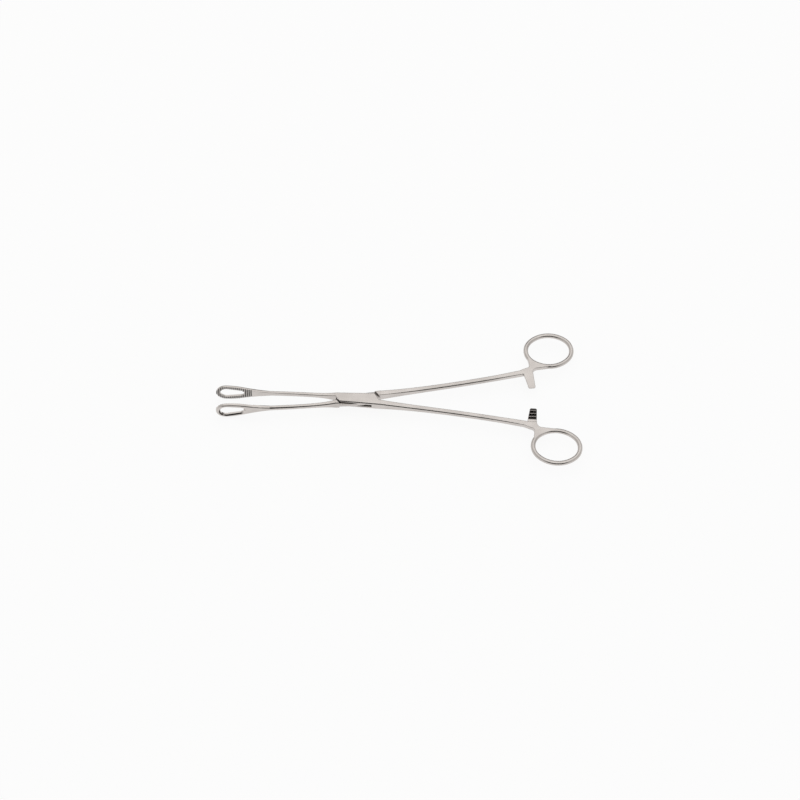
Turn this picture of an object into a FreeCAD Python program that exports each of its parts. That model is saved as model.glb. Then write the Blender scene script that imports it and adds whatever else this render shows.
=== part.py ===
import FreeCAD, Part
import math
import os
import re
import Sketcher

# Sponge forceps, 245 mm long: two crossing halves joined by a box lock and one flush pin.
# Each half is drawn as it lies with the jaws closed: X runs from the jaws (-X) to the rings (+X),
# Z is the pin's axis and Z = 0 is the middle of the lock. A half's placement then turns it
# about the pin to the opening at rest and lifts it, so the lock's underside lies on Z = 0.

os.makedirs("parts", exist_ok=True)
doc = FreeCAD.newDocument("SpongeForceps")
sheet = doc.addObject("Spreadsheet::Sheet", "Sizes")

driving_sizes = [
    # the stance
    ("rest_opening", 8.1, "angle between the halves at rest, degrees"),
    # box lock
    ("lock_thickness", 6.1, "height of the lock along the pin"),
    ("lock_half_width", 4.1, "half of the lock's width at the pin"),
    ("lock_taper", 0.04, "how much the half width grows for each mm towards the rings"),
    ("plate_front", 13.9, "where the plate's front shoulder crosses the middle line"),
    ("plate_rear", 13.85, "where the plate's rear shoulder crosses the middle line"),
    ("shoulder_slant", 32.0, "slant of the shoulders, degrees"),
    ("front_shoulder_gap", 0.55, "gap between the front shoulders when closed"),
    ("rear_shoulder_gap", 1.2, "gap between the rear shoulders when closed"),
    ("block_overlap", 0.5, "how far the lock's full thickness runs on into arm and shank"),
    ("seam_step", 0.02, "how much smaller an end section is than the form it grows out of"),
    ("seam_depth", 0.3, "how deep an end section lies in that form"),
    ("tongue_thickness", 2.4, "thin middle of the male half, which passes through the box"),
    ("tongue_side_clearance", 0.06, "play above and below the tongue in its slot"),
    ("tongue_end_clearance", 0.4, "play between the tongue and the ends of its slot"),
    ("slot_end_angle", 38.0, "slant of the slot's end walls, degrees"),
    # pin
    ("pin_radius", 1.6, "shank of the lock pin"),
    ("pin_head_radius", 2.2, "riveted head, ground flush with the plates"),
    ("pin_head_depth", 0.6, "depth of the head's cone"),
    ("pin_clearance", 0.05, "running clearance of the pin in the tongue"),
    # arms between the lock and the jaws
    ("arm_inner", 0.5, "distance between the arm's inner face and the middle line at the lock"),
    ("arm_width", 2.35, "width of the arm's slim middle"),
    ("arm_depth", 2.9, "its depth along the pin"),
    ("arm_bow", 0.3, "how far the arm's middle bows away from the middle line"),
    ("edge_bevel", 0.65, "bevel of the lock's, the arms' and the shanks' edges"),
    ("inner_edge_bevel", 0.1, "bevel of an arm's or a shank's inner edges at the lock"),
    # jaws
    ("jaw_tip_x", 94.4, "distance of the jaw's tip from the pin"),
    ("jaw_toe", 1.6, "angle by which the jaws meet at the tips first, degrees"),
    ("jaw_thickness", 2.15, "thickness of the jaw's rim"),
    ("jaw_tip_radius", 6.8, "round end of the jaw, half of its width"),
    ("jaw_bulge_radius", 41.8, "radius of the jaw's bulging side"),
    ("jaw_taper", 16.4, "slant of the side where the bulge ends, degrees"),
    ("jaw_neck_radius", 95.0, "radius of the hollow side behind the bulge"),
    ("jaw_neck_taper", 5.9, "slant of the side where the jaw ends in the arm, degrees"),
    ("jaw_edge_radius", 1.25, "rounding of the jaw's outer edge"),
    ("window_tip_wall", 2.7, "rim at the window's tip end"),
    ("window_tip_radius", 4.5, "round front of the window, half of its width"),
    ("window_length", 16.1, "length of the window"),
    ("window_root_radius", 3.0, "round rear end of the window"),
    ("window_bevel", 0.8, "bevel of the window's outer edge"),
    ("serration_pitch", 1.27, "distance between the jaw's teeth"),
    ("serration_width", 1.1, "width of one groove"),
    ("serration_depth", 0.4, "depth of one groove"),
    # shanks between the lock and the rings
    ("shank_inner", 0.85, "distance between the shank's inner face and the middle line at the lock"),
    ("shank_width", 3.28, "width of the shank's slim middle"),
    ("shank_depth", 3.4, "its depth along the pin"),
    ("shank_bow", 1.12, "how far the shank's middle bows towards the middle line"),
    ("shank_end_y", 12.76, "middle of the shank's end in the boss"),
    ("shank_end_width", 3.6, "width of that end"),
    # finger rings
    ("ring_x", 133.6, "centre of the finger ring along the instrument"),
    ("ring_y", 29.45, "its distance from the middle line"),
    ("ring_half_length", 15.6, "half length of the oval along the rim's middle"),
    ("ring_half_width", 12.8, "half width of the oval along the rim's middle"),
    ("ring_end_radius", 11.1, "radius of the oval's ends"),
    ("rim_width", 3.15, "rim measured across the ring"),
    # boss that joins shank, ring and ratchet
    ("boss_depth", 3.25, "thickness of the rim, the boss and the two ratchet bars together"),
    ("boss_front_x", 113.0, "where the boss starts on the shank's inner side"),
    ("boss_lean", 3.6, "how much further forward it starts on the outer side"),
    ("boss_overlap", 1.4, "how far the shank's end lies in the boss"),
    ("boss_inner_inset", 0.35, "how far the boss starts inside the shank's inner edge"),
    ("boss_outer_inset", 1.2, "how far it starts inside the outer edge of the shank's end"),
    ("boss_edge_bevel", 0.3, "bevel of the boss's edges"),
    ("boss_heel_radius", 3.5, "hollow between the ratchet bar and the ring"),
    ("boss_heel_inset", 0.1, "how far that hollow ends inside the ring's edge line"),
    ("boss_heel_flank", 0.92, "straight edge between that hollow and the ratchet bar's root"),
    ("boss_heel_rise", 0.7, "how much further inside the edge line the boss runs out"),
    ("boss_throat_radius", 2.4, "hollow between the shank and the ring"),
    ("boss_throat_x", 118.8, "where that hollow is deepest"),
    ("boss_throat_y", 16.0, "where it leaves the shank"),
    # ratchet
    ("ratchet_rear_x", 120.4, "rear edge of the ratchet bar"),
    ("ratchet_base_width", 6.6, "width of the bar where it leaves the boss"),
    ("ratchet_tip_width", 4.7, "width of the bar near its tip"),
    ("ratchet_seat", 1.0, "how deep the bar's root lies in the boss"),
    ("ratchet_overrun", 0.95, "how far the tip reaches past the middle line when closed"),
    ("ratchet_corner_radius", 1.2, "round corners of the tip"),
    ("ratchet_gap", 0.3, "play between the two bars as they pass"),
    ("ratchet_pitch", 2.4, "distance between the ratchet's teeth"),
    ("ratchet_depth", 0.85, "height of a ratchet tooth"),
    ("ratchet_crest", 0.15, "flat crest of a ratchet tooth"),
]

serration_count = 19
ratchet_teeth = 4
arm_steps = 7
shank_steps = 9
rim_flats = 16

for row, (alias, size, note) in enumerate(driving_sizes, start=1):
    sheet.set(f"A{row}", alias)
    sheet.set(f"B{row}", str(size))
    sheet.setAlias(f"B{row}", alias)
    sheet.set(f"C{row}", note)
doc.recompute()
aliases = {alias for alias, size, note in driving_sizes}


def bound(expression):
    """The expression with each alias written as a cell of the sheet."""

    def cell(word):
        return f"Sizes.{word.group()}" if word.group() in aliases else word.group()

    return re.sub("[a-z_]+", cell, expression)


def size_of(expression):
    """The number that an expression on the sheet's cells gives now."""
    return float(sheet.evalExpression(bound(expression)))


def bind(thing, path, expression):
    thing.setExpression(path, bound(expression))


def origin_plane(body, role):
    for feature in body.Origin.OriginFeatures:
        if feature.Role == role:
            return feature


def new_sketch(body, name, role, lift="0", shift="0", turn=None):
    """A sketch on one of the body's own planes, lifted off it and shifted along its first axis."""
    sketch = body.newObject("Sketcher::SketchObject", name)
    sketch.AttachmentSupport = [(origin_plane(body, role), "")]
    sketch.MapMode = "FlatFace"
    if turn:
        axis, angle = turn
        offset = FreeCAD.Placement(FreeCAD.Vector(), FreeCAD.Rotation(axis, 1.0))
        sketch.AttachmentOffset = offset
        bind(sketch, "AttachmentOffset.Rotation.Angle", angle)
    bind(sketch, "AttachmentOffset.Base.z", lift)
    bind(sketch, "AttachmentOffset.Base.x", shift)
    return sketch


def draw_outline(sketch, corners):
    """A closed outline through corners. Each corner is its x, its y and, where the edge that
    leaves it is an arc, the arc's radius: positive where it turns left, negative where right."""
    places = [FreeCAD.Vector(size_of(c[0]), size_of(c[1]), 0) for c in corners]
    starts = []
    for i, corner in enumerate(corners):
        here = places[i]
        there = places[(i + 1) % len(places)]
        if len(corner) == 2:
            edge = sketch.addGeometry(Part.LineSegment(here, there), False)
            starts.append((edge, 1, 2))
            continue
        radius = size_of(corner[2])
        chord = there - here
        left = FreeCAD.Vector(-chord.y, chord.x, 0).normalize()
        rise = math.sqrt(radius**2 - (chord.Length / 2) ** 2)
        centre = here + chord * 0.5 + left * math.copysign(rise, radius)
        first, last = (here, there) if radius > 0 else (there, here)
        angles = [math.atan2(p.y - centre.y, p.x - centre.x) for p in (first, last)]
        circle = Part.Circle(centre, FreeCAD.Vector(0, 0, 1), abs(radius))
        edge = sketch.addGeometry(Part.ArcOfCircle(circle, angles[0], angles[1]), False)
        starts.append((edge, 1, 2) if radius > 0 else (edge, 2, 1))
    for i, corner in enumerate(corners):
        edge, start, end = starts[i]
        following = starts[(i + 1) % len(starts)]
        sketch.addConstraint(Sketcher.Constraint("Coincident", edge, end, following[0], following[1]))
        distances = [("DistanceX", corner[0], places[i].x), ("DistanceY", corner[1], places[i].y)]
        for kind, expression, value in distances:
            index = sketch.addConstraint(Sketcher.Constraint(kind, -1, 1, edge, start, value))
            bind(sketch, f"Constraints[{index}]", expression)
        if len(corner) == 3:
            radius = size_of(corner[2])
            index = sketch.addConstraint(Sketcher.Constraint("Radius", edge, abs(radius)))
            sign = "" if radius > 0 else "-1 * "
            bind(sketch, f"Constraints[{index}]", f"{sign}( {corner[2]} )")


def bevelled_section(body, name, x, side, inner, outer, depth, inner_bevel, outer_bevel):
    """A bevelled rectangle across the instrument, between two distances from the middle line."""
    sketch = new_sketch(body, name, "YZ_Plane", lift=x)
    low, high = f"-1 * {depth} / 2", f"{depth} / 2"
    near = f"{side} * ( {inner} + {inner_bevel} )"
    far = f"{side} * ( {outer} - {outer_bevel} )"
    draw_outline(sketch, [
        (near, low),
        (far, low),
        (f"{side} * {outer}", f"{low} + {outer_bevel}"),
        (f"{side} * {outer}", f"{high} - {outer_bevel}"),
        (far, high),
        (near, high),
        (f"{side} * {inner}", f"{high} - {inner_bevel}"),
        (f"{side} * {inner}", f"{low} + {inner_bevel}"),
    ])
    return sketch


def add_pad(body, name, sketch, length, midplane=True, reverse=False):
    pad = body.newObject("PartDesign::Pad", name)
    pad.Profile = sketch
    pad.Midplane = midplane
    pad.Reversed = reverse
    bind(pad, "Length", length)
    return pad


def add_pocket(body, name, sketch, length):
    pocket = body.newObject("PartDesign::Pocket", name)
    pocket.Profile = sketch
    pocket.Midplane = True
    bind(pocket, "Length", length)
    return pocket


def draw_circle(sketch, radius):
    """A circle about the sketch's own origin."""
    shape = Part.Circle(FreeCAD.Vector(), FreeCAD.Vector(0, 0, 1), size_of(radius))
    circle = sketch.addGeometry(shape, False)
    sketch.addConstraint(Sketcher.Constraint("Coincident", circle, 3, -1, 1))
    index = sketch.addConstraint(Sketcher.Constraint("Radius", circle, size_of(radius)))
    bind(sketch, f"Constraints[{index}]", radius)


def add_limb(body, name, side, limb):
    """A bar lofted through sections from its root at the lock to its end. Sizes are given
    for root, slim middle and end; the sections crowd together at the root."""
    sections = []
    for i in range(limb["steps"] + 1):
        share = (i / limb["steps"]) ** limb["crowding"]
        swell = (1 - share) ** limb["swell"]
        flare = share ** limb["flare"]

        def size_here(root, slim, end):
            return f"( {slim} + ( {root} - {slim} ) * {swell:.4f} + ( {end} - {slim} ) * {flare:.4f} )"

        root_x, end_x = limb["x"]
        root_y, end_y = limb["y"]
        width = size_here(*limb["width"])
        middle = (
            f"( {root_y} + ( {end_y} - {root_y} ) * {share:.4f}"
            f" + {limb['bow']} * {4 * share * (1 - share):.4f} )"
        )
        sections.append(bevelled_section(
            body,
            f"{name}_section_{i}",
            f"{root_x} + ( {end_x} - {root_x} ) * {share:.4f}",
            side,
            f"( {middle} - {width} / 2 )",
            f"( {middle} + {width} / 2 )",
            size_here(*limb["depth"]),
            size_here(*limb["inner_bevel"]),
            size_here(*limb["outer_bevel"]),
        ))
    loft = body.newObject("PartDesign::AdditiveLoft", name)
    loft.Profile = sections[0]
    loft.Sections = sections[1:]
    loft.Ruled = False


# The sides of the lock run apart a little towards the rings, and its shoulders are slanted.
SLANT = "tan( shoulder_slant )"
END_SLOPE = "tan( slot_end_angle )"


def side_at(x):
    return f"( lock_half_width + lock_taper * ( {x} ) )"


def front_corner(reach):
    """Where a front shoulder, which crosses the middle line at reach, meets the handle's side."""
    x = f"( ( {SLANT} * lock_half_width - {reach} ) / ( 1 - {SLANT} * lock_taper ) )"
    return x, f"( -1 * {side_at(x)} )"


def rear_corner(reach):
    """Where a rear shoulder meets the lock's other side."""
    x = f"( ( {reach} - {SLANT} * lock_half_width ) / ( 1 + {SLANT} * lock_taper ) )"
    return x, side_at(x)


# The crotches, where the arm's and the shank's inner edges meet the plates' shoulders.
CROTCH_FRONT = f"( -1 * plate_front - {SLANT} * arm_inner )"
CROTCH_REAR = f"( plate_rear + {SLANT} * shank_inner )"

# The planes where the lock's full thickness passes over into the arms and the shanks.
BLOCK_FRONT = "( -1 * plate_front - front_shoulder_gap - block_overlap )"
BLOCK_REAR = "( plate_rear + rear_shoulder_gap + block_overlap )"


def build_half(name, jaw_side, serration_start, build_lock):
    """One forged half: its own part of the lock, then the forms that both halves share.
    jaw_side is 1 where the jaw lies at +Y."""
    body = doc.addObject("PartDesign::Body", name)
    body.Label = name
    handle_side = -jaw_side
    build_lock(body)
    build_jaw(body, jaw_side, serration_start)
    build_arm(body, jaw_side)
    build_boss(body, handle_side)
    build_shank(body, handle_side)
    build_ring(body, handle_side)
    build_ratchet(body, handle_side)
    return body


# The jaw's outline: a round tip, a bulging side and a hollow neck, each tangent to the next.
BULGE_END = "( jaw_tip_radius + jaw_bulge_radius * sin( jaw_taper ) )"
BULGE_HALF = "( jaw_tip_radius - jaw_bulge_radius * ( 1 - cos( jaw_taper ) ) )"
JAW_LENGTH = f"( {BULGE_END} + jaw_neck_radius * ( sin( jaw_taper ) - sin( jaw_neck_taper ) ) )"
JAW_ROOT_HALF = f"( {BULGE_HALF} - jaw_neck_radius * ( cos( jaw_neck_taper ) - cos( jaw_taper ) ) )"


def build_jaw(body, side, serration_start):
    """A flat serrated face inside, a domed back outside, and the window through both."""
    toe = f"{side} * jaw_toe"
    outward = side > 0
    sketch = new_sketch(body, "jaw_outline", "XZ_Plane", shift="-1 * jaw_tip_x",
                        turn=(FreeCAD.Vector(0, 1, 0), toe))
    draw_outline(sketch, [
        ("jaw_tip_radius", "jaw_tip_radius", "jaw_tip_radius"),
        ("0", "0", "jaw_tip_radius"),
        ("jaw_tip_radius", "-1 * jaw_tip_radius", "jaw_bulge_radius"),
        (BULGE_END, f"-1 * {BULGE_HALF}", "-1 * jaw_neck_radius"),
        (JAW_LENGTH, f"-1 * {JAW_ROOT_HALF}"),
        (JAW_LENGTH, JAW_ROOT_HALF, "-1 * jaw_neck_radius"),
        (BULGE_END, BULGE_HALF, "jaw_bulge_radius"),
    ])
    add_pad(body, "jaw_plate", sketch, "jaw_thickness", midplane=False, reverse=outward)

    sketch = new_sketch(body, "window_outline", "XZ_Plane", shift="-1 * jaw_tip_x",
                        turn=(FreeCAD.Vector(0, 1, 0), toe))
    front = "( window_tip_wall + window_tip_radius )"
    rear = "( window_tip_wall + window_length - window_root_radius )"
    lean = f"( ( window_tip_radius - window_root_radius ) / ( {rear} - {front} ) )"
    level = f"sqrt( 1 - {lean} * {lean} )"
    draw_outline(sketch, [
        (f"{front} + window_tip_radius * {lean}", f"window_tip_radius * {level}", "window_tip_radius"),
        ("window_tip_wall", "0", "window_tip_radius"),
        (f"{front} + window_tip_radius * {lean}", f"-1 * window_tip_radius * {level}"),
        (f"{rear} + window_root_radius * {lean}", f"-1 * window_root_radius * {level}", "window_root_radius"),
        (f"{rear} + window_root_radius * {lean}", f"window_root_radius * {level}"),
    ])
    add_pocket(body, "window", sketch, "4 * jaw_thickness")
    finish_back(body, side)

    sketch = new_sketch(body, "serration_profile", "XY_Plane", shift="-1 * jaw_tip_x",
                        turn=(FreeCAD.Vector(0, 0, 1), toe))
    start = f"serration_pitch * {serration_start}"
    inside = f"-1 * {side} * serration_depth"
    draw_outline(sketch, [
        (f"{start} - serration_width / 2", "0"),
        (f"{start}", f"{side} * serration_depth"),
        (f"{start} + serration_width / 2", "0"),
        (f"{start} + serration_width / 2", inside),
        (f"{start} - serration_width / 2", inside),
    ])
    groove = add_pocket(body, "serration", sketch, "4 * jaw_tip_radius")
    rows = body.newObject("PartDesign::LinearPattern", "serrations")
    rows.Originals = [groove]
    rows.Direction = (sketch, ["H_Axis"])
    rows.Occurrences = serration_count
    bind(rows, "Length", f"serration_pitch * {serration_count - 1}")
    body.Tip = rows


def back_edges(body, side, of_window):
    """The edges of the jaw's outer face: those round the window, or those round the outside."""
    toe = math.radians(size_of("jaw_toe"))
    normal = FreeCAD.Vector(-math.sin(toe), side * math.cos(toe), 0)
    tip = FreeCAD.Vector(-size_of("jaw_tip_x"), 0, 0)
    thickness = size_of("jaw_thickness")
    window_end = size_of("window_tip_wall + window_length")
    jaw_end = size_of(JAW_LENGTH)
    names = []
    for number, edge in enumerate(body.Shape.Edges, start=1):
        heights = [(point.Point - tip).dot(normal) for point in edge.Vertexes]
        box = edge.BoundBox
        far_end = box.XMax - tip.x
        if max(abs(height - thickness) for height in heights) > 0.01:
            continue
        if far_end > jaw_end + 0.1 or box.XLength < 0.5:
            continue
        reach = max(abs(box.ZMin), abs(box.ZMax))
        in_window = reach < size_of("window_tip_radius") + 0.05 and far_end < window_end + 0.1
        if in_window == of_window:
            names.append(f"Edge{number}")
    return names


def finish_back(body, side):
    """Rounds the outer face's edge, so that the rim has a domed back, and bevels the window's."""
    doc.recompute()
    rounding = body.newObject("PartDesign::Fillet", "jaw_back")
    rounding.Base = (rounding.BaseFeature, back_edges(body, side, False))
    bind(rounding, "Radius", "jaw_edge_radius")
    doc.recompute()
    bevel = body.newObject("PartDesign::Chamfer", "window_back")
    bevel.Base = (bevel.BaseFeature, back_edges(body, side, True))
    bind(bevel, "Size", "window_bevel")
    doc.recompute()


def build_arm(body, side):
    """The slim arm, which swells towards the lock and ends in the jaw's root."""
    root_x = f"( {BLOCK_FRONT} + seam_depth )"
    jaw_face = f"tan( jaw_toe ) * {JAW_LENGTH}"
    add_limb(body, "arm", side, {
        "steps": arm_steps,
        "crowding": 1.6,
        "swell": 7,
        "flare": 3,
        "x": (root_x, f"( {JAW_LENGTH} - jaw_tip_x - seam_depth )"),
        "y": (f"( ( {side_at(root_x)} + arm_inner ) / 2 )", f"( {jaw_face} + jaw_thickness / 2 )"),
        "bow": "arm_bow",
        "width": (
            f"( {side_at(root_x)} - arm_inner - 2 * seam_step )",
            "arm_width",
            "( jaw_thickness - seam_step )",
        ),
        "depth": (
            "( lock_thickness - 2 * seam_step )",
            "arm_depth",
            f"( 2 * {JAW_ROOT_HALF} - seam_step )",
        ),
        "inner_bevel": ("inner_edge_bevel", "0.7 * edge_bevel", "inner_edge_bevel"),
        "outer_bevel": ("edge_bevel", "edge_bevel", "0.75 * jaw_edge_radius"),
    })


def build_shank(body, side):
    """The long shank, which swells towards the lock and ends in the boss of the ring."""
    root_x = f"( {BLOCK_REAR} - seam_depth )"
    add_limb(body, "shank", side, {
        "steps": shank_steps,
        "crowding": 1.5,
        "swell": 6,
        "flare": 6,
        "x": (root_x, "( boss_front_x + boss_overlap )"),
        "y": (f"( ( {side_at(root_x)} + shank_inner ) / 2 )", "shank_end_y"),
        "bow": "-1 * shank_bow",
        "width": (
            f"( {side_at(root_x)} - shank_inner - 2 * seam_step )",
            "shank_width",
            "shank_end_width",
        ),
        "depth": (
            "( lock_thickness - 2 * seam_step )",
            "shank_depth",
            "( boss_depth - 2 * seam_step )",
        ),
        "inner_bevel": ("inner_edge_bevel", "edge_bevel", "boss_edge_bevel"),
        "outer_bevel": ("edge_bevel", "edge_bevel", "boss_edge_bevel"),
    })


# The ring's oval is four arcs, each tangent to the next: two ends and two flatter sides.
END_REACH = "( ring_half_length - ring_end_radius )"
SIDE_RADIUS = (
    f"( ( {END_REACH} * {END_REACH} + ring_half_width * ring_half_width"
    " - ring_end_radius * ring_end_radius ) / ( 2 * ( ring_half_width - ring_end_radius ) ) )"
)
JOIN_X = f"( {END_REACH} * {SIDE_RADIUS} / ( {SIDE_RADIUS} - ring_end_radius ) )"
JOIN_Y = f"( ( {SIDE_RADIUS} - ring_half_width ) * ring_end_radius / ( {SIDE_RADIUS} - ring_end_radius ) )"


def draw_oval(sketch, side):
    left, right = f"ring_x - {JOIN_X}", f"ring_x + {JOIN_X}"
    near, far = f"{side} * ( ring_y - {JOIN_Y} )", f"{side} * ( ring_y + {JOIN_Y} )"
    draw_outline(sketch, [
        (left, near, f"{side} * {SIDE_RADIUS}"),
        (right, near, f"{side} * ring_end_radius"),
        (right, far, f"{side} * {SIDE_RADIUS}"),
        (left, far, f"{side} * ring_end_radius"),
    ])


# The hollow between ratchet bar and ring, and from it the boss's inner edge, follow the ring.
HEEL_Y = "( ring_y - ring_half_width - rim_width / 2 + boss_heel_inset )"
BOSS_INNER = f"( {HEEL_Y} - boss_heel_radius - boss_heel_flank )"


def build_boss(body, side):
    """The flat place where shank, ring and ratchet bar run together, with hollow throats."""
    sketch = new_sketch(body, "boss_outline", "XY_Plane")
    throat_top = "( boss_throat_y + boss_throat_radius )"
    hollow = f"-1 * {side}"
    draw_outline(sketch, [
        ("boss_front_x", f"{side} * ( shank_end_y - shank_end_width / 2 + boss_inner_inset )"),
        ("ratchet_rear_x", f"{side} * {BOSS_INNER}"),
        ("ratchet_rear_x", f"{side} * ( {HEEL_Y} - boss_heel_radius )", f"{hollow} * boss_heel_radius"),
        ("ratchet_rear_x + boss_heel_radius", f"{side} * {HEEL_Y}"),
        ("ring_x", f"{side} * ( {HEEL_Y} + boss_heel_rise )"),
        ("ring_x", f"{side} * ring_y"),
        ("ring_x - ring_half_length", f"{side} * ring_y"),
        ("boss_throat_x", f"{side} * {throat_top}", f"{hollow} * boss_throat_radius"),
        ("boss_throat_x - boss_throat_radius", f"{side} * boss_throat_y"),
        ("boss_front_x - boss_lean", f"{side} * ( shank_end_y + shank_end_width / 2 - boss_outer_inset )"),
    ])
    add_pad(body, "boss", sketch, "boss_depth")
    sketch = new_sketch(body, "boss_cutback", "XY_Plane")
    draw_oval(sketch, side)
    add_pocket(body, "ring_side", sketch, "2 * boss_depth")
    doc.recompute()
    bevel = body.newObject("PartDesign::Chamfer", "boss_edges")
    bevel.Base = (bevel.BaseFeature, boss_rims(body))
    bind(bevel, "Size", "boss_edge_bevel")


def boss_rims(body):
    """The boss's upper and lower edges, but not those inside the shank or along the ring."""
    height = size_of("boss_depth / 2")
    front = size_of("boss_front_x")
    least_ring_radius = size_of("ring_end_radius") - 0.01
    names = []
    for number, edge in enumerate(body.Shape.Edges, start=1):
        ends = [point.Point for point in edge.Vertexes]
        if max(abs(abs(end.z) - height) for end in ends) > 0.01:
            continue
        if max(end.x for end in ends) < front + 0.01:
            continue
        along_ring = edge.Curve.TypeId == "Part::GeomCircle" and edge.Curve.Radius > least_ring_radius
        if not along_ring:
            names.append(f"Edge{number}")
    return names


def build_ring(body, side):
    """The ring's rim: an oval section, drawn with narrow flats, swept along the ring's oval."""
    path = new_sketch(body, "ring_path", "XY_Plane")
    draw_oval(path, side)
    section = new_sketch(body, "ring_section", "YZ_Plane", lift="ring_x")
    flat_angle = 2 * math.pi / rim_flats
    corner_reach = 1 / math.cos(flat_angle / 2)
    corners = []
    for i in range(rim_flats):
        angle = (i + 0.5) * flat_angle
        across = corner_reach * math.cos(angle)
        upward = corner_reach * math.sin(angle)
        corners.append((
            f"{side} * ( ring_y - ring_half_width ) + rim_width / 2 * {across:.5f}",
            f"boss_depth / 2 * {upward:.5f}",
        ))
    draw_outline(section, corners)
    ring = body.newObject("PartDesign::AdditivePipe", "ring")
    ring.Profile = section
    ring.Spine = (path, [f"Edge{i + 1}" for i in range(4)])


def build_ratchet(body, side):
    """Half as thick as the boss: the upper half of it on the male side, the lower on the female."""
    face = f"{side} * ratchet_gap / 2"
    sketch = new_sketch(body, "ratchet_outline", "XY_Plane", lift=face)
    y = f"{side} *"
    tip = f"{y} ( -1 * ratchet_overrun )"
    rounded = f"{y} ( ratchet_corner_radius - ratchet_overrun )"
    root = f"{y} ( {BOSS_INNER} + ratchet_seat )"
    draw_outline(sketch, [
        ("ratchet_rear_x - ratchet_base_width", root),
        ("ratchet_rear_x - ratchet_tip_width", rounded, f"{side} * ratchet_corner_radius"),
        ("ratchet_rear_x - ratchet_tip_width + ratchet_corner_radius", tip),
        ("ratchet_rear_x - ratchet_corner_radius", tip, f"{side} * ratchet_corner_radius"),
        ("ratchet_rear_x", rounded),
        ("ratchet_rear_x", root),
    ])
    add_pad(body, "ratchet_bar", sketch, "boss_depth / 2 - ratchet_gap / 2", midplane=False, reverse=side < 0)

    sketch = new_sketch(body, "tooth_profile", "YZ_Plane", lift="ratchet_rear_x - ratchet_base_width / 2")
    start = f"{y} ( -1 * ratchet_overrun )"
    crest = f"{y} ( ratchet_pitch - ratchet_crest - ratchet_overrun )"
    below = f"{side} * ( ratchet_gap / 2 - 0.1 )"
    draw_outline(sketch, [
        (start, f"{face} + {side} * ratchet_depth"),
        (crest, face),
        (crest, below),
        (start, below),
    ])
    notch = add_pocket(body, "tooth", sketch, "2 * ratchet_base_width")
    teeth = body.newObject("PartDesign::LinearPattern", "teeth")
    teeth.Originals = [notch]
    teeth.Direction = (sketch, ["H_Axis"])
    teeth.Reversed = side < 0
    teeth.Occurrences = ratchet_teeth
    bind(teeth, "Length", f"ratchet_pitch * {ratchet_teeth - 1}")
    body.Tip = teeth


def bevel_sides(body):
    """Bevels the upper and lower edges along the lock's two long sides."""
    doc.recompute()
    height = size_of("lock_thickness / 2")
    names = []
    for number, edge in enumerate(body.Shape.Edges, start=1):
        ends = [point.Point for point in edge.Vertexes]
        off_side = max(abs(abs(end.y) - size_of(side_at(str(end.x)))) for end in ends)
        off_height = max(abs(abs(end.z) - height) for end in ends)
        if off_side < 0.01 and off_height < 0.01 and edge.BoundBox.XLength > 0.5:
            names.append(f"Edge{number}")
    bevel = body.newObject("PartDesign::Chamfer", "lock_edges")
    bevel.Base = (bevel.BaseFeature, names)
    bind(bevel, "Size", "edge_bevel")


def build_box(body):
    """The female half's lock: two plates with the slot between them, and the riveted bore."""
    sketch = new_sketch(body, "plate_outline", "XY_Plane")
    draw_outline(sketch, [
        (BLOCK_FRONT, side_at(BLOCK_FRONT)),
        (BLOCK_FRONT, "arm_inner"),
        (CROTCH_FRONT, "arm_inner"),
        front_corner("plate_front"),
        (BLOCK_REAR, f"( -1 * {side_at(BLOCK_REAR)} )"),
        (BLOCK_REAR, "-1 * shank_inner"),
        (CROTCH_REAR, "-1 * shank_inner"),
        rear_corner("plate_rear"),
    ])
    add_pad(body, "plates", sketch, "lock_thickness")
    bevel_sides(body)

    sketch = new_sketch(body, "slot_outline", "XY_Plane")
    clear = "( 2.5 * lock_half_width )"
    draw_outline(sketch, [
        (CROTCH_FRONT, "arm_inner"),
        (f"{CROTCH_FRONT} - tongue_end_clearance", f"arm_inner - tongue_end_clearance"),
        (f"{CROTCH_FRONT} - 2 * tongue_end_clearance", f"-1 * {clear}"),
        (f"{CROTCH_REAR} - ( {clear} - shank_inner ) / {END_SLOPE}", f"-1 * {clear}"),
        (CROTCH_REAR, f"-1 * shank_inner"),
        (f"{CROTCH_REAR} + tongue_end_clearance", f"tongue_end_clearance - shank_inner"),
        (f"{CROTCH_REAR} + 2 * tongue_end_clearance", clear),
        (f"{CROTCH_FRONT} + ( {clear} - arm_inner ) / {END_SLOPE}", clear),
    ])
    add_pocket(body, "slot", sketch, "tongue_thickness + 2 * tongue_side_clearance")

    sketch = new_sketch(body, "bore_profile", "XZ_Plane")
    draw_pin_profile(sketch, "pin_head_depth")
    bore = body.newObject("PartDesign::Groove", "riveted_bore")
    bore.Profile = sketch
    bore.ReferenceAxis = (sketch, ["V_Axis"])
    bore.Angle = 360


def draw_pin_profile(sketch, beyond="0"):
    """Half of the pin, drawn from its axis: a straight shank with a cone at each end."""
    face = "lock_thickness / 2"
    neck = f"{face} - pin_head_depth"
    corners = [("0", f"-1 * ( {face} + {beyond} )")]
    if beyond != "0":
        corners.append(("pin_head_radius", f"-1 * ( {face} + {beyond} )"))
    corners += [
        ("pin_head_radius", f"-1 * ( {face} )"),
        ("pin_radius", f"-1 * ( {neck} )"),
        ("pin_radius", neck),
        ("pin_head_radius", face),
    ]
    if beyond != "0":
        corners.append(("pin_head_radius", f"{face} + {beyond}"))
    corners.append(("0", f"{face} + {beyond}"))
    draw_outline(sketch, corners)


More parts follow.
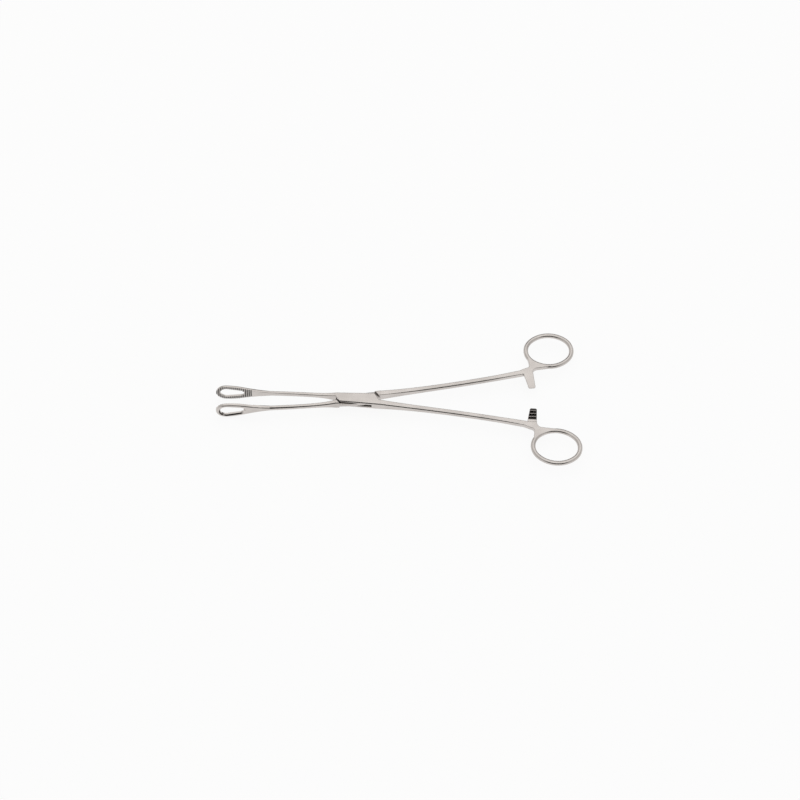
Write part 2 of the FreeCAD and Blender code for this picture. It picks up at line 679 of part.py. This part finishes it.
def build_tongue(body):
    """The male half's lock: full thickness up to the shoulders, a thin tongue between them."""
    front_reach = "( plate_front + front_shoulder_gap )"
    rear_reach = "( plate_rear + rear_shoulder_gap )"
    tongue_front = f"( {BLOCK_FRONT} + block_overlap / 2 )"
    tongue_rear = f"( {BLOCK_REAR} - block_overlap / 2 )"
    play = "( tongue_end_clearance / cos( slot_end_angle ) )"
    top_x = (
        f"( ( lock_half_width - arm_inner + {END_SLOPE} * {CROTCH_FRONT} + {play} )"
        f" / ( {END_SLOPE} - lock_taper ) )"
    )
    low_x = (
        f"( ( shank_inner - lock_half_width + {END_SLOPE} * {CROTCH_REAR} - {play} )"
        f" / ( {END_SLOPE} + lock_taper ) )"
    )
    front_x = f"( -1 * {front_reach} )"
    rear_x = f"( {rear_reach} - {SLANT} * shank_inner + tongue_end_clearance )"
    sketch = new_sketch(body, "tongue_outline", "XY_Plane")
    draw_outline(sketch, [
        (tongue_front, f"-1 * {side_at(tongue_front)} + block_overlap / 2"),
        front_corner(front_reach),
        (low_x, f"( -1 * {side_at(low_x)} )"),
        (rear_x, f"{END_SLOPE} * ( {rear_x} - {CROTCH_REAR} ) + {play} - shank_inner"),
        (tongue_rear, "shank_inner + block_overlap / 2"),
        (tongue_rear, f"{side_at(tongue_rear)} - block_overlap / 2"),
        rear_corner(rear_reach),
        (top_x, side_at(top_x)),
        (front_x, f"{END_SLOPE} * ( {front_x} - {CROTCH_FRONT} ) + arm_inner - {play}"),
        (tongue_front, "-1 * arm_inner - block_overlap / 2"),
    ])
    add_pad(body, "tongue", sketch, "tongue_thickness")

    sketch = new_sketch(body, "front_block_outline", "XY_Plane")
    draw_outline(sketch, [
        (BLOCK_FRONT, f"-1 * {side_at(BLOCK_FRONT)}"),
        front_corner(front_reach),
        (f"{SLANT} * arm_inner - {front_reach}", "-1 * arm_inner"),
        (BLOCK_FRONT, "-1 * arm_inner"),
    ])
    add_pad(body, "front_block", sketch, "lock_thickness")

    sketch = new_sketch(body, "rear_block_outline", "XY_Plane")
    draw_outline(sketch, [
        (f"{rear_reach} - {SLANT} * shank_inner", "shank_inner"),
        (BLOCK_REAR, "shank_inner"),
        (BLOCK_REAR, side_at(BLOCK_REAR)),
        rear_corner(rear_reach),
    ])
    add_pad(body, "rear_block", sketch, "lock_thickness")
    bevel_sides(body)

    sketch = new_sketch(body, "pin_hole_outline", "XY_Plane")
    draw_circle(sketch, "pin_radius + pin_clearance")
    add_pocket(body, "pin_hole", sketch, "2 * lock_thickness")


def build_pin():
    body = doc.addObject("PartDesign::Body", "lock_pin")
    body.Label = "lock_pin"
    sketch = new_sketch(body, "pin_profile", "XZ_Plane")
    draw_pin_profile(sketch)
    turned = body.newObject("PartDesign::Revolution", "pin")
    turned.Profile = sketch
    turned.ReferenceAxis = (sketch, ["V_Axis"])
    turned.Angle = 360
    return body


def settle(body, turn):
    """Turns the body about the pin to its place at rest, with the lock's underside on Z = 0."""
    body.Placement = FreeCAD.Placement(FreeCAD.Vector(), FreeCAD.Rotation(FreeCAD.Vector(0, 0, 1), 1.0))
    bind(body, "Placement.Rotation.Angle", turn)
    bind(body, "Placement.Base.z", "lock_thickness / 2")


female = build_half("female_half", 1, 0.5, build_box)
male = build_half("male_half", -1, 1.0, build_tongue)
pin = build_pin()
settle(female, "-1 * rest_opening / 2")
settle(male, "rest_opening / 2")
settle(pin, "-1 * rest_opening / 2")
doc.recompute()

pieces = [female, male, pin]
for item in doc.Objects:
    if "Invalid" in item.State or "Error" in item.State:
        raise RuntimeError(f"{item.Name} could not be made: {item.State}")
for piece in pieces:
    if piece.Shape.isNull() or not piece.Shape.isValid():
        raise RuntimeError(f"{piece.Label} is not a sound solid")
for piece in pieces:
    print(piece.Label, round(piece.Shape.Volume, 1), len(piece.Shape.Solids), piece.Shape.BoundBox)
    piece.Shape.exportStep(f"parts/{piece.Label}.step")
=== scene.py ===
from math import radians

import bpy
from mathutils import Matrix, Vector

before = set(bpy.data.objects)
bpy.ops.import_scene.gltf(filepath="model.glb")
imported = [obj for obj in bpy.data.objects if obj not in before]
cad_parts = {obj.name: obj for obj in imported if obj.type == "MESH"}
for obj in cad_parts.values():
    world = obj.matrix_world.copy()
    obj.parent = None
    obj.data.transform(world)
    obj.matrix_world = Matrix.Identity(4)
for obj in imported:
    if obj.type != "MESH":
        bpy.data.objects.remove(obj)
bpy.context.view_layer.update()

print("frame loaded")
bpy.ops.object.select_all(action="DESELECT")


class Wire:  # a shader socket that takes part in sums
    def __init__(self, tree, socket):
        self.tree = tree
        self.socket = socket

    def node(self, kind, settings=None, **inputs):  # i0, i1 and so on are sockets by number
        made = self.tree.nodes.new(kind)
        for name, value in (settings or {}).items():
            setattr(made, name, value)
        for name, value in inputs.items():
            numbered = name[0] == "i" and name[1:].isdigit()
            place = int(name[1:]) if numbered else name.replace("_", " ")
            plug(self.tree, made.inputs[place], value)
        return made

    def math(self, operation, *values):
        made = self.node("ShaderNodeMath", {"operation": operation})
        for place, value in zip(made.inputs, values):
            plug(self.tree, place, value)
        return Wire(self.tree, made.outputs[0])

    def size(self):  # without its sign
        return self.math("ABSOLUTE", self)

    def clamp(self, low, high):
        made = self.node("ShaderNodeClamp", None, Value=self, Min=low, Max=high)
        return Wire(self.tree, made.outputs[0])

    def band(self, low, high):  # 0 below low, 1 above high
        made = self.node("ShaderNodeMapRange", {"interpolation_type": "SMOOTHSTEP"}, Value=self,
                         From_Min=low, From_Max=high)
        return Wire(self.tree, made.outputs[0])

    def split(self):  # the three parts of a vector
        made = self.node("ShaderNodeSeparateXYZ", None, i0=self)
        return [Wire(self.tree, part) for part in made.outputs]

    def __add__(self, other):
        return self.math("ADD", self, other)

    def __radd__(self, other):
        return self.math("ADD", other, self)

    def __sub__(self, other):
        return self.math("SUBTRACT", self, other)

    def __rsub__(self, other):
        return self.math("SUBTRACT", other, self)

    def __mul__(self, other):
        return self.math("MULTIPLY", self, other)

    def __rmul__(self, other):
        return self.math("MULTIPLY", other, self)


def plug(tree, place, value):
    if isinstance(value, Wire):
        tree.links.new(value.socket, place)
    else:
        place.default_value = value


def startTree(owner, ending):  # an empty node tree with its output node
    owner.use_nodes = True
    tree = owner.node_tree
    tree.nodes.clear()
    return tree, tree.nodes.new(ending)


def startMaterial(name):
    material = bpy.data.materials.new(name)
    tree, ends = startTree(material, "ShaderNodeOutputMaterial")
    return material, tree, ends


def coordinate(tree, kind):  # one output of a fresh Texture Coordinate node
    made = tree.nodes.new("ShaderNodeTexCoord")
    return Wire(tree, made.outputs[kind])


def stretched(tree, scale):
    spot = coordinate(tree, "Object")
    made = spot.node("ShaderNodeMapping", None, Vector=spot, Scale=scale)
    return Wire(tree, made.outputs["Vector"])


def noise(spot, scale, detail, roughness=0.5):
    made = spot.node("ShaderNodeTexNoise", None, Vector=spot, Scale=scale, Detail=detail,
                     Roughness=roughness)
    return Wire(spot.tree, made.outputs["Fac"])


mixPlaces = {"VECTOR": (4, 5, 1), "RGBA": (6, 7, 2)}  # sockets of a Mix node: first, second, result


def mix(kind, factor, first, second):
    low, high, result = mixPlaces[kind]
    made = factor.node("ShaderNodeMix", {"data_type": kind}, Factor=factor)
    plug(factor.tree, made.inputs[low], first)
    plug(factor.tree, made.inputs[high], second)
    return Wire(factor.tree, made.outputs[result])


steel = {
    "dark": (0.515, 0.480, 0.456, 1.0),
    "light": (0.640, 0.600, 0.572, 1.0),
    "toneShares": (0.55, 0.30, 0.15),  # cloud, brush lines, blast
    "toneSpan": (0.30, 0.70),
    "roughness": 0.15,
    "roughnessSpread": 0.10,
    "lineRoughness": 0.06,
    "grainLength": 60.0,  # brush lines run along the instrument
    "grainAcross": 2400.0,
    "grainDetail": 4.0,
    "grainHarshness": 0.6,
    "blast": 5200.0,
    "blastDetail": 2.0,
    "cloud": 90.0,
    "cloudDetail": 3.0,
    "grainDepth": 0.0000015,
    "blastDepth": 0.0000012,
}

edges = {
    "radius": 0.0007,  # forged edges, polished round
    "samples": 14,
    "pinRadius": 0.00008,
    "toothRadius": 0.0001,  # crisper on the serrations and the ratchet
    "toothSamples": 4,
    "jaws": (0.062, 0.068),  # the jaws fade in over this distance ahead of the pin
    "bars": (0.112, 0.116),  # the same for the ratchet bars, behind the pin
    "barHalf": (0.0135, 0.0165),
    "toothLevel": 0.00305,  # the ratchet's teeth lie about this height
    "toothSpan": (0.0011, 0.0016),
    "pinClear": (0.0024, 0.0032),  # the pin is ground flush, so no edge shows round it
}

# painted shade: grooves and gaps are darkened from ambient occlusion, and serration walls from which way
# they face along the jaw
paintedShade = {
    "colour": (0.035, 0.031, 0.028, 1.0),  # painted shade: near-black colour in grooves, in the lock's gaps and on one wall of each serration
    "reach": 0.0014,
    "samples": 8,
    "span": (0.50, 0.93),
    "lean": (0.30, 0.50),  # how far a groove's wall leans along the jaw; walls leaning this way get painted shade
    "face": (0.50, 0.70),
}


def roundedEdge(spot, radius, samples):
    made = spot.node("ShaderNodeBevel", {"samples": samples}, Radius=radius)
    return Wire(spot.tree, made.outputs["Normal"])


def distanceFromPin(spot):
    flat = spot.node("ShaderNodeVectorMath", {"operation": "MULTIPLY"}, i0=spot, i1=(1.0, 1.0, 0.0))
    made = spot.node("ShaderNodeVectorMath", {"operation": "LENGTH"}, i0=Wire(spot.tree, flat.outputs[0]))
    return Wire(spot.tree, made.outputs["Value"])


def toothPlaces(spot, look):  # where the serrated jaws and the ratchet's teeth are
    along, side, height = spot.split()
    jaws = (-1.0 * along).band(*look["jaws"])
    bars = along.band(*look["bars"]) * (1.0 - side.size().band(*look["barHalf"]))
    level = (height - look["toothLevel"]).size()
    return jaws, bars * (1.0 - level.band(*look["toothSpan"]))


def edgeNormal(spot, look, radius, teeth):
    soft = roundedEdge(spot, radius, look["samples"])
    crisp = roundedEdge(spot, look["toothRadius"], look["toothSamples"])
    edge = mix("VECTOR", teeth, soft, crisp)
    plain = Wire(spot.tree, spot.node("ShaderNodeNewGeometry").outputs["Normal"])
    return mix("VECTOR", distanceFromPin(spot).band(*look["pinClear"]), plain, edge)


def unshadedShare(spot, look, jaws):  # painted shade: 0 in a groove, in a gap or on a serration wall leaning along the jaw, 1 on open steel
    lean, inward, _ = coordinate(spot.tree, "Normal").split()
    # painted shade on the serration walls that lean one way along the jaw, picked by the way they face
    wall = jaws * lean.band(*look["lean"]) * inward.size().band(*look["face"])
    # painted shade where ambient occlusion finds a groove or a gap between the halves
    made = spot.node("ShaderNodeAmbientOcclusion", {"samples": look["samples"]}, Distance=look["reach"])
    return Wire(spot.tree, made.outputs["AO"]).band(*look["span"]) * (1.0 - wall)


def makeSteel(name, look, radius):
    material, tree, ends = startMaterial(name)
    brushed = stretched(tree, (look["grainLength"], look["grainAcross"], look["grainAcross"]))
    even = stretched(tree, (1.0, 1.0, 1.0))
    lines = noise(brushed, 1.0, look["grainDetail"], look["grainHarshness"])
    blast = noise(even, look["blast"], look["blastDetail"])
    cloud = noise(even, look["cloud"], look["cloudDetail"])
    cloudShare, lineShare, blastShare = look["toneShares"]
    tone = (cloudShare * cloud + lineShare * lines + blastShare * blast).band(*look["toneSpan"])
    jaws, bars = toothPlaces(even, edges)
    unshadedTone = mix("RGBA", tone, look["dark"], look["light"])
    # painted shade: grooves, gaps and the leaning serration walls are darkened towards near black
    colour = mix("RGBA", unshadedShare(even, paintedShade, jaws), paintedShade["colour"], unshadedTone)
    rough = look["roughness"] + look["roughnessSpread"] * (cloud - 0.5)
    rough = rough + look["lineRoughness"] * (lines - 0.5)
    relief = look["grainDepth"] * lines + look["blastDepth"] * blast
    normal = edgeNormal(even, edges, radius, (jaws + bars).clamp(0.0, 1.0))
    bump = even.node("ShaderNodeBump", None, Height=relief, Strength=1.0, Distance=1.0, Normal=normal)
    metal = even.node("ShaderNodeBsdfPrincipled", None, Metallic=1.0, Base_Color=colour, Roughness=rough,
                      Normal=Wire(tree, bump.outputs["Normal"]))
    tree.links.new(metal.outputs["BSDF"], ends.inputs["Surface"])
    return material


def dress(node, material):
    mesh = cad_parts[node].data
    mesh.materials.clear()
    mesh.materials.append(material)


forgedSteel = makeSteel("forgedSteel", steel, edges["radius"])
pinSteel = makeSteel("pinSteel", steel, edges["pinRadius"])
dress("female_half", forgedSteel)
dress("male_half", forgedSteel)
dress("lock_pin", pinSteel)
print("steel on both halves and on the pin")

floor = {
    "size": 6.0,
    "height": -0.0042,  # just under the jaws
    "colour": (0.93, 0.93, 0.93, 1.0),
    "white": (1.0, 1.0, 1.0, 1.0),
    "glow": 0.90,  # the share of its white that doesn't depend on the light, for eye and steel alike
}


def makeFloor(look):
    bpy.ops.mesh.primitive_plane_add(size=look["size"], location=(0.0, 0.0, look["height"]))
    plane = bpy.context.object
    plane.name = "floor"
    material, tree, ends = startMaterial("floorPaper")
    path = tree.nodes.new("ShaderNodeLightPath")
    camera = Wire(tree, path.outputs["Is Camera Ray"])
    glossy = Wire(tree, path.outputs["Is Glossy Ray"])
    through = Wire(tree, path.outputs["Is Transmission Ray"])
    seen = look["glow"] * (camera + glossy + through).clamp(0.0, 1.0)
    paper = camera.node("ShaderNodeBsdfDiffuse", None, Color=look["colour"])
    white = camera.node("ShaderNodeEmission", None, Color=look["white"], Strength=1.0)
    blend = camera.node("ShaderNodeMixShader", None, i0=seen)
    tree.links.new(paper.outputs[0], blend.inputs[1])
    tree.links.new(white.outputs[0], blend.inputs[2])
    tree.links.new(blend.outputs[0], ends.inputs["Surface"])
    plane.data.materials.append(material)


makeFloor(floor)
print("floor laid")

studio = {
    "tint": (1.0, 0.995, 0.985, 1.0),
    "ceiling": 1.1,
    "backWall": 0.06,
    "frontWall": 0.02,
    "frontTable": 0.30,
    "sideWall": 0.70,
    "frontSpan": (-0.10, 0.20),  # how the back turns into the front
    "backCeiling": (0.30, 0.62),  # heights over which the ceiling begins, as the sine of the angle
    "frontCeiling": (0.68, 0.86),
    "frontRise": (0.16, 0.40),
    "sideSpan": (0.35, 0.70),
}

softbox = {
    "place": (0.03, 0.45, 1.0),
    "target": (0.03, 0.0, 0.0),
    "size": (1.4, 0.8),
    "power": 0.6,
}


def makeWorld(look):
    world = bpy.data.worlds.new("studio")
    bpy.context.scene.world = world
    tree, ends = startTree(world, "ShaderNodeOutputWorld")
    beside, across, up = coordinate(tree, "Generated").split()
    front = (-1.0 * across).band(*look["frontSpan"])
    backRise = look["ceiling"] - look["backWall"]
    frontRise = look["ceiling"] - look["frontWall"]
    rear = look["backWall"] + backRise * up.band(*look["backCeiling"])
    wall = look["frontTable"] + (look["frontWall"] - look["frontTable"]) * up.band(*look["frontRise"])
    ahead = wall + frontRise * up.band(*look["frontCeiling"])
    level = rear + front * (ahead - rear)
    level = level + beside.size().band(*look["sideSpan"]) * (look["sideWall"] - level)
    light = up.node("ShaderNodeBackground", None, Color=look["tint"], Strength=level)
    tree.links.new(light.outputs[0], ends.inputs["Surface"])


def makeLamp(name, look):
    bpy.ops.object.light_add(type="AREA", location=look["place"])
    lamp = bpy.context.object
    lamp.name = name
    lamp.data.shape = "RECTANGLE"
    lamp.data.size, lamp.data.size_y = look["size"]
    lamp.data.energy = look["power"]
    lamp.visible_glossy = False  # the steel mirrors the floor and the studio's walls, not the lamp
    ray = Vector(look["target"]) - Vector(look["place"])
    lamp.rotation_euler = ray.to_track_quat("-Z", "Y").to_euler()


makeWorld(studio)
makeLamp("softbox", softbox)
print("studio set")

shot = {
    "distance": 1.5,
    "elevation": 56.0,
    "azimuth": 4.7,
    "roll": -3.43,
    "lens": 100.84,
    "sensor": 36.0,
    "farEnd": 20.0,
    "aim": (0.02865, -0.00025, 0.00288),
}


def makeCamera(look):
    bpy.ops.object.camera_add()
    camera = bpy.context.object
    turn = Matrix.Rotation(-radians(look["azimuth"]), 3, "Z")
    tilt = Matrix.Rotation(radians(90.0 - look["elevation"]), 3, "X")
    pose = turn @ tilt @ Matrix.Rotation(-radians(look["roll"]), 3, "Z")
    camera.rotation_euler = pose.to_euler()
    camera.location = Vector(look["aim"]) + pose @ Vector((0.0, 0.0, look["distance"]))
    camera.data.lens = look["lens"]
    camera.data.sensor_width = look["sensor"]
    camera.data.clip_end = look["farEnd"]
    bpy.context.scene.camera = camera


makeCamera(shot)
bpy.context.scene.view_settings.view_transform = "Standard"
print("camera set")
